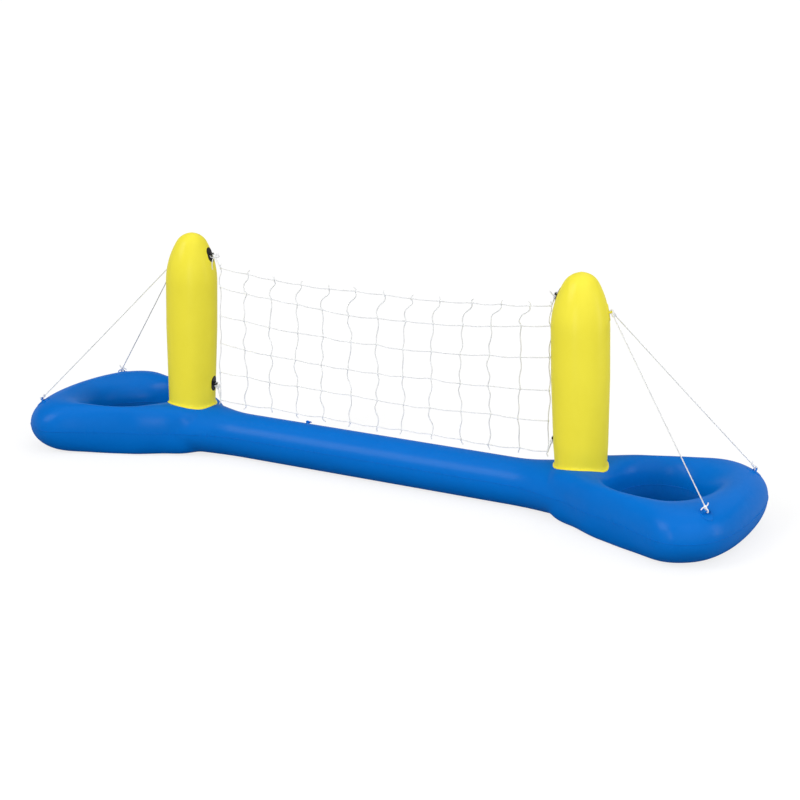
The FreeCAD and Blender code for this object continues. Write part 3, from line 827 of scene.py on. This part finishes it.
# The bridge's middle line from one foot to the start of the bar, and its rounded section
BRIDGE_HALF = [Vector(place) for place in (
    (-0.0127, 0, -0.0020), (-0.0124, 0, 0.0008), (-0.0108, 0, 0.0058), (-0.0097, 0, 0.0090),
    (-0.0084, 0, 0.0101), (-0.0068, 0, BAR_RISE))]
BRIDGE_PROFILE = ((-0.0025, -0.0004), (-0.0018, -0.0011), (0.0018, -0.0011), (0.0025, -0.0004),
                  (0.0025, 0.0004), (0.0018, 0.0011), (-0.0018, 0.0011), (-0.0025, 0.0004))
# Share of the tab's radius and lift off the film, from the edge inwards
TAB_SECTION = ((1.0, -0.0004), (1.0, 0.0008), (0.97, TAB_RIM), (0.86, TAB_RIM), (0.82, TAB_FILM),
               (0.5, TAB_FILM), (0.25, TAB_FILM))


def make_tab(name, tree, matrix, material):
    """A welded oval that follows the film, with a dished edge and a moulded handle over it."""
    outward = matrix.to_3x3() @ UP
    points = []
    for share, lift in TAB_SECTION:
        for step in range(TAB_SIDES):
            turn = 2 * math.pi * (step + 0.5) / TAB_SIDES
            along = TAB_RADIUS * math.sin(turn) + math.copysign(TAB_STRAIGHT, math.sin(turn))
            flat = Vector((TAB_RADIUS * share * math.cos(turn), along * share, FILM_SEARCH))
            points.append(on_film(tree, matrix, flat, outward, lift))
    points.append(on_film(tree, matrix, UP * FILM_SEARCH, outward, TAB_FILM))
    faces = wall_faces(len(TAB_SECTION), TAB_SIDES) + tip_faces(len(TAB_SECTION), TAB_SIDES)
    far_half = [Vector((-place.x, 0, place.z)) for place in reversed(BRIDGE_HALF)]
    handle = []
    handle_faces = []
    sweep(blend_points(BRIDGE_HALF + far_half, 5), BRIDGE_PROFILE, Y, handle, handle_faces)
    start = len(points)
    points += [matrix @ place for place in handle]
    faces += [tuple(start + corner for corner in face) for face in handle_faces]
    tab = link(name + "_soft", mesh_from(name + "_soft", points, faces))
    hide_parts(name)
    return give(tab, material)


def on_film(tree, matrix, flat, outward, lift):
    """The place on the film under a point of the tab's frame, lifted off it."""
    place, unused_normal, unused_index, unused_distance = tree.ray_cast(matrix @ flat, -outward, 0.08)
    if place is None:
        place = matrix @ Vector((flat.x, flat.y, 0))
    return place + outward * lift


def bar_of(matrix):
    """The middle of a tab's bar."""
    return matrix @ Vector((0, 0, BAR_RISE))


def ring_tab_frame(side, end, guy_bar):
    """A frame on top of the ring's corner, its bar square to the guy line that comes to it."""
    middle, half_width, unused_power = ring_section(RING_TAB_TURN)
    heading = Vector((side * math.cos(RING_TAB_TURN), end * math.sin(RING_TAB_TURN), 0))
    centre = Vector((side * RING_CENTRE, 0, SEAM_HEIGHT))
    level, rise = math.cos(RING_TAB_RISE), math.sin(RING_TAB_RISE)
    place = heading * (half_width * level) + UP * (RING_HALF_HEIGHT * rise)
    point = centre + heading * middle + place
    outward = heading * (level / half_width) + UP * (rise / RING_HALF_HEIGHT)
    return frame_on(point, outward, outward.cross(guy_bar - point))


def make_tabs():
    """All ten tabs; gives their frames by name."""
    frames = {}
    for side in (LEFT, RIGHT):
        for tab, height, heading, material, slot in (
                ("upper_net_tab", UPPER_TAB_HEIGHT, math.pi - NET_TAB_TURNS[side], BLACK_TAB, "tab_black"),
                ("lower_net_tab", LOWER_TAB_HEIGHT, math.pi - NET_TAB_TURNS[side], BLACK_TAB, "tab_black"),
                ("guy_tab", GUY_TAB_HEIGHT, GUY_TAB_TURN, YELLOW_FILM, "post_film")):
            name = "%s_%s" % (side_name(side), tab)
            frames[name] = post_tab_frame(side, height, heading)
            make_tab(name, POST_TREES[side], frames[name], material)
        guy_bar = bar_of(frames["%s_guy_tab" % side_name(side)])
        for end, end_name in ENDS:
            name = "%s_%s_ring_tab" % (side_name(side), end_name)
            frames[name] = ring_tab_frame(side, end, guy_bar)
            make_tab(name, FLOAT_TREE, frames[name], BLUE_FILM)
    return frames


TAB_FRAMES = make_tabs()


# Guy lines

def knot(cords, place, along, radius, size):
    """A pulled-tight knot: two crossing wraps about the cord."""
    side = along.orthogonal().normalized()
    other = along.cross(side)
    line = []
    for step in range(28):
        turn = 2 * math.pi * step / 14
        swing = 0.9 * size * math.sin(2 * math.pi * step / 28)
        line.append(place + (side * math.cos(turn) + other * math.sin(turn)) * size + along * swing)
    cords.add(line, radius, 8, closed=True)
    line = []
    for step in range(16):
        turn = 2 * math.pi * step / 16
        line.append(place + (side * math.cos(turn) + along * math.sin(turn)) * size * 0.95
                    + other * (0.5 * size * math.sin(2 * turn)))
    cords.add(line, radius, 8, closed=True)


def wrap(cords, centre, axis, toward, inner, radius):
    """A loop round a bar, drawn out towards the knot."""
    axis = (axis - toward * axis.dot(toward)).normalized()
    other = axis.cross(toward)
    line = []
    for step in range(20):
        turn = 2 * math.pi * step / 20
        pull = 1 + 0.35 * max(0, math.cos(turn)) ** 3
        line.append(centre + toward * (math.cos(turn) * inner * pull) + other * (math.sin(turn) * inner))
    cords.add(line, radius, 8, closed=True)


def tail(cords, start, points, radius):
    """A cut end through points given from its start."""
    line = blend_points([start] + [start + Vector(point) for point in points], 6)
    cords.add(line, radius, 8)


def make_guy(side, end, end_name):
    """A guy cord with its loops and knots at the post and at the ring."""
    name = "%s_%s_guy_line" % (side_name(side), end_name)
    post_frame = TAB_FRAMES["%s_guy_tab" % side_name(side)]
    post_bar = post_frame.to_3x3() @ X
    top = bar_of(post_frame) + post_bar * (end * GUY_SPACING)
    ring_frame = TAB_FRAMES["%s_%s_ring_tab" % (side_name(side), end_name)]
    foot = bar_of(ring_frame)
    along = (foot - top).normalized()
    exit_place = top + along * GUY_EXIT
    last = foot - along * GUY_EXIT
    middle = exit_place + (last - exit_place) * 0.5 - UP * GUY_SAG
    route = [exit_place, exit_place + along * 0.02, middle, last - along * 0.02, last]
    curve = bpy.data.curves.new(name + "_cord", "CURVE")
    curve.dimensions = "3D"
    spline = curve.splines.new("NURBS")
    spline.points.add(len(route) - 1)
    for point, place in zip(spline.points, route):
        point.co = (place.x, place.y, place.z, 1)
    spline.order_u = 3
    spline.use_endpoint_u = True
    curve.bevel_depth = GUY_CORD / 2
    curve.bevel_resolution = 3
    curve.resolution_u = 24
    cord = link(name + "_cord", curve)
    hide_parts(name)
    give(cord, GUY_WHITE)
    ends = CordMesh()
    radius = GUY_CORD / 2
    for place, inward, bar in ((top, along, post_bar), (foot, -along, ring_frame.to_3x3() @ X)):
        wrap(ends, place, bar, inward, GUY_LOOP, radius)
        for distance, size in GUY_KNOTS:
            knot(ends, place + inward * distance, inward, radius, size)
    side_way = ring_frame.to_3x3() @ X
    knot_place = foot - along * GUY_TAIL_KNOT
    for points in GUY_TAILS:
        tail(ends, knot_place, [side_way * across + UP * rise for across, rise in points], radius)
    knots = ends.make(name + "_knots")
    give(knots, GUY_WHITE)
    (last - exit_place).length


for side in (LEFT, RIGHT):
    for end, end_name in ENDS:
        make_guy(side, end, end_name)


# Net

def net_height(row, across):
    """The level of a row of the net, lower towards its middle."""
    sag = NET_SAGS[row] * (1 - (across / NET_HALF_LENGTH) ** 2)
    if row == 0:
        return NET_TOP - sag
    step = (NET_SECOND_ROW - NET_BOTTOM) / (NET_ROWS - 1)
    return NET_SECOND_ROW - step * (row - 1) - sag


def net_knots(dice):
    """Where the cords cross, a little out of line as tied by hand."""
    places = {}
    for row in range(NET_ROWS + 1):
        for column in range(NET_COLUMNS + 1):
            share = column / NET_COLUMNS
            drop = row / NET_ROWS
            left = NET_LEFT_EDGE[0] * (1 - drop) + NET_LEFT_EDGE[1] * drop
            right = NET_RIGHT_EDGE[0] * (1 - drop) + NET_RIGHT_EDGE[1] * drop
            across = left * (1 - share) + right * share
            inner = 0 if column in (0, NET_COLUMNS) else 1
            if row == 0 and inner:
                across += NET_SLANTS[0] * (1 - share) + NET_SLANTS[1] * share
            knot_across = across + inner * dice.uniform(-0.006, 0.006)
            knot_deep = dice.uniform(-0.002, 0.002)
            knot_level = net_height(row, across) + dice.uniform(-0.003, 0.003)
            places[row, column] = Vector((knot_across, knot_deep, knot_level))
    return places


def make_net(dice):
    """Cords tied in squares: level cords pulled nearly straight, slack upright ones that wander."""
    cords = CordMesh()
    radius = NET_CORD / 2
    places = net_knots(dice)
    for row in range(NET_ROWS + 1):
        line = []
        for column in range(NET_COLUMNS + 1):
            line.append(places[row, column])
            if column < NET_COLUMNS:
                middle = (places[row, column] + places[row, column + 1]) / 2
                line.append(middle + Vector((0, dice.uniform(-0.001, 0.001), dice.uniform(-0.0035, -0.0005))))
        cords.add(blend_points(line, 5), radius)
    for column in range(NET_COLUMNS + 1):
        top = places[0, column]
        bottom = places[NET_ROWS, column]
        line = [top + Vector((dice.uniform(-0.007, 0.007), dice.uniform(-0.003, 0.003), 0.0125)),
                top + Vector((dice.uniform(-0.003, 0.003), 0, 0.006))]
        for row in range(NET_ROWS + 1):
            line.append(places[row, column])
            if row < NET_ROWS:
                edge = 0.4 if column in (0, NET_COLUMNS) else 1
                if row == 0:
                    swings = ((0.22, dice.uniform(0.001, 0.007)), (0.52, dice.uniform(-0.014, -0.008)),
                              (0.80, dice.uniform(-0.012, -0.006)))
                else:
                    way = 1 if (row + column) % 2 else -1
                    swings = ((0.3, way * dice.uniform(0.003, 0.008)),
                              (0.7, way * dice.uniform(-0.005, -0.001)))
                for share, swing in swings:
                    point = places[row, column].lerp(places[row + 1, column], share)
                    line.append(point + Vector((edge * swing, dice.uniform(-0.004, 0.004), 0)))
        line += [bottom + Vector((dice.uniform(-0.003, 0.003), 0, -0.007)),
                 bottom + Vector((dice.uniform(-0.008, 0.008), dice.uniform(-0.003, 0.003), -0.0155))]
        cords.add(blend_points(line, 5), radius)
    for place in places.values():
        way = Vector((dice.uniform(-0.6, 0.6), dice.uniform(-0.3, 0.3), 1)).normalized()
        knot(cords, place, way, radius * 0.9, NET_KNOT)
    for side in (LEFT, RIGHT):
        for row, tab in ((0, "upper_net_tab"), (NET_ROWS, "lower_net_tab")):
            corner = places[row, 0 if side == LEFT else NET_COLUMNS]
            frame_name = "%s_%s" % (side_name(side), tab)
            tie_corner(cords, corner, TAB_FRAMES[frame_name], radius, TIE_ENDS[side, row > 0])
    net = cords.make("net_cords")
    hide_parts("net")
    return give(net, NET_WHITE)


def bow(cords, place, way, reach, radius):
    """Two loops of a bow that stand out from a knot."""
    for sign in (-1, 1):
        line = []
        for step in range(16):
            turn = 2 * math.pi * step / 16
            line.append(place + way * (sign * reach * (1 - math.cos(turn)) / 2)
                        + UP * (0.32 * reach * math.sin(turn)) + way.cross(UP) * (0.12 * reach * math.sin(turn)))
        cords.add(line, radius, 8, closed=True)


def tie_corner(cords, corner, tab, radius, ends):
    """The cord that ties a corner of the net to its tab, with a knot, its cut ends and any bow."""
    bar = bar_of(tab)
    toward = (corner - bar).normalized()
    wrap(cords, bar, tab.to_3x3() @ X, toward, TIE_LOOP, radius)
    tied = bar + toward * 0.0095
    knot(cords, tied, toward, radius * 1.2, TIE_KNOTS[0])
    knot(cords, tied + toward * 0.004, toward, radius * 1.2, TIE_KNOTS[1])
    middle = tied.lerp(corner, 0.5) + Vector((0, 0.001, -0.0015))
    for offset in (-0.0011, 0.0011):
        shift = Y * offset
        cords.add(blend_points([tied + shift, middle + shift, corner + shift], 6), radius)
    reach, tails = ends
    if reach:
        bow(cords, tied, VIEW_RIGHT, reach, radius)
    for points in tails:
        tail(cords, tied, points, radius)


make_net(random.Random(7))


# Valves

STRAP_PROFILE = ((-0.0015, -0.0005), (0.0015, -0.0005), (0.0015, 0.0005), (-0.0015, 0.0005))
# From the stem's rim, out and over to the plug's cap
STRAP_ROUTE = ((0.0070, 0.0131), (0.0100, 0.0131), (0.0117, 0.0137), (0.0121, 0.0150), (0.0115, 0.0160),
               (0.0098, 0.0163), (0.0060, 0.0162))


def make_strap(name, matrix):
    """The soft strap between stem and plug, curved from the stem's rim over to the plug's cap."""
    points = []
    faces = []
    route = blend_points([Vector((across, 0, rise)) for across, rise in STRAP_ROUTE], 5)
    sweep(route, STRAP_PROFILE, Y, points, faces)
    mesh = mesh_from(name + "_valve_strap_soft", [matrix @ point for point in points], faces)
    strap = link(name + "_valve_strap_soft", mesh)
    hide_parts(name + "_valve_strap")
    strap.data.materials.append(BLUE_TAB if name == "float" else MILKY)
    start = matrix @ Vector((0.0110, 0, 0.0135))
    end = matrix @ Vector((0.0110, 0, 0.0158))
    name + "_valve"
    name + "_plug"
    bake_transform(strap)


def valve_frames():
    """The frames on the film at the three valves, by the piece they are on."""
    outward = Vector((0, math.sin(FLOAT_VALVE_TURN), math.cos(FLOAT_VALVE_TURN)))
    middle = Vector((FLOAT_VALVE_X, 0, SEAM_HEIGHT + TUBE_RADIUS - RING_HALF_HEIGHT))
    frames = {"float": frame_on(middle + outward * TUBE_RADIUS, outward, X)}
    for side in (LEFT, RIGHT):
        point = post_matrix(side) @ Vector((0, wall_radius(POST_VALVE_HEIGHT), POST_VALVE_HEIGHT))
        frames[side_name(side) + "_post"] = frame_on(point, Y, X)
    return frames


def open_for_stem(film, matrix):
    """Takes the film away under a valve's flange, where the stem passes through."""
    local = matrix.inverted()
    cut = bmesh.new()
    cut.from_mesh(film.data)
    under = []
    for face in cut.faces:
        place = local @ face.calc_center_median()
        if place.xy.length < VALVE_OPENING and abs(place.z) < VALVE_OPENING:
            under.append(face)
    bmesh.ops.delete(cut, geom=under, context="FACES")
    cut.to_mesh(film.data)
    cut.free()


FILMS = {"float": FLOAT, "left_post": POSTS[LEFT], "right_post": POSTS[RIGHT]}
for name, matrix in valve_frames().items():
    open_for_stem(FILMS[name], matrix)
    make_strap(name, matrix)
    film = BLUE_FILM if name == "float" else YELLOW_FILM
    soft = BLUE_TAB if name == "float" else MILKY
    for node, material in (("valve_seat", film), ("valve_stem", soft), ("valve_plug", soft)):
        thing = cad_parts["%s_%s" % (name, node)]
        thing.data.materials.clear()
        thing.data.materials.append(material)


# Studio

FLOOR_WHITE = 0.35
FLOOR_WHITE_STRENGTH = 2.25
WORLD_STRENGTH = 0.26
BACKDROP_RADIUS = 39
BACKDROP_HEIGHT = 11
BACKDROP_SIDES = 48
BACKDROP_STRENGTH = 1.05
FLOOR_HALF = 40


def seen_directly(tree):
    """1 on rays that carry a picture of the backdrop: camera, glossy and transmission rays."""
    path = tree.nodes.new("ShaderNodeLightPath")
    seen = path.outputs["Is Camera Ray"]
    for other in ("Is Glossy Ray", "Is Transmission Ray"):
        either = tree.nodes.new("ShaderNodeMath")
        either.operation = "MAXIMUM"
        tree.links.new(seen, either.inputs[0])
        tree.links.new(path.outputs[other], either.inputs[1])
        seen = either.outputs[0]
    return seen


def pale_finish(name, share_white, strength):
    """Pale paper that looks white where it is seen directly."""
    finish = Finish(name, Roughness=0.9)
    shade = finish.noise(finish.place(), 0.6, 1.0)
    finish.set("Base Color", finish.mix(shade, (0.34, 0.34, 0.34, 1), (0.36, 0.36, 0.36, 1)))
    white = finish.node("ShaderNodeEmission", inputs={"Color": (1, 1, 1, 1), "Strength": strength})
    share = Wire(finish, seen_directly(finish.tree)) * share_white
    paper = Wire(finish, finish.shader.outputs[0])
    both = finish.node("ShaderNodeMixShader", inputs={0: share, 1: paper, 2: white})
    finish.tree.links.new(both.socket, finish.tree.nodes["Material Output"].inputs["Surface"])
    return finish.material


def make_floor():
    signs = ((-1, -1), (1, -1), (1, 1), (-1, 1))
    corners = [(across * FLOOR_HALF, along * FLOOR_HALF, 0) for across, along in signs]
    floor = link("floor", mesh_from("floor", corners, [(0, 1, 2, 3)], False))
    floor.data.materials.append(pale_finish("studio_floor", FLOOR_WHITE, FLOOR_WHITE_STRENGTH))


def make_backdrop():
    """A far round wall, which takes no part in lighting the set."""
    turns = [2 * math.pi * step / BACKDROP_SIDES for step in range(BACKDROP_SIDES)]
    low = [(BACKDROP_RADIUS * math.cos(turn), BACKDROP_RADIUS * math.sin(turn), 0) for turn in turns]
    high = [(across, along, BACKDROP_HEIGHT) for across, along, unused in low]
    faces = wall_faces(2, BACKDROP_SIDES)
    wall = link("backdrop", mesh_from("backdrop", low + high, faces, False))
    wall.data.materials.append(pale_finish("studio_backdrop", 1.0, BACKDROP_STRENGTH))
    wall.visible_diffuse = False
    wall.visible_shadow = False


def make_world():
    """An even dim studio round the lamps."""
    world = bpy.data.worlds.new("studio")
    bpy.context.scene.world = world
    world.use_nodes = True
    background = world.node_tree.nodes["Background"]
    background.inputs["Color"].default_value = (1, 1, 1, 1)
    background.inputs["Strength"].default_value = WORLD_STRENGTH


def make_sky_panel(name, toward, spread, share):
    """A broad far light; a white surface that faces it gets this share of white from it."""
    data = bpy.data.lights.new(name, "SUN")
    data.angle = math.radians(spread)
    data.energy = share * math.pi
    lamp = link(name, data)
    lamp.rotation_euler = (-Vector(toward)).to_track_quat("-Z", "Y").to_euler()


def make_strip(name, place, target, width, height, power):
    """A tall narrow softbox, whose reflection runs down a post."""
    data = bpy.data.lights.new(name, "AREA")
    data.shape = "RECTANGLE"
    data.size = width
    data.size_y = height
    data.energy = power
    lamp = link(name, data)
    lamp.location = place
    lamp.rotation_euler = (Vector(target) - Vector(place)).to_track_quat("-Z", "Y").to_euler()


make_floor()
make_backdrop()
make_world()
make_sky_panel("key_panel", (-0.467, -0.647, 0.603), 30, 0.36)
make_sky_panel("top_panel", (0, -0.1, 1), 70, 0.22)
make_sky_panel("right_panel", (0.82, -0.45, 0.36), 90, 0.48)
make_sky_panel("back_panel", (0.0, 0.8, 0.8), 60, 0.12)
make_strip("front_strip", (0.78, -3.0, 0.8), (0.2, 0, 0.4), 0.4, 1.6, 16)
make_strip("right_strip", (3.6, 0.75, 0.8), (0.7, 0, 0.45), 0.35, 1.6, 14)

scene = bpy.context.scene
scene.view_settings.view_transform = "Standard"
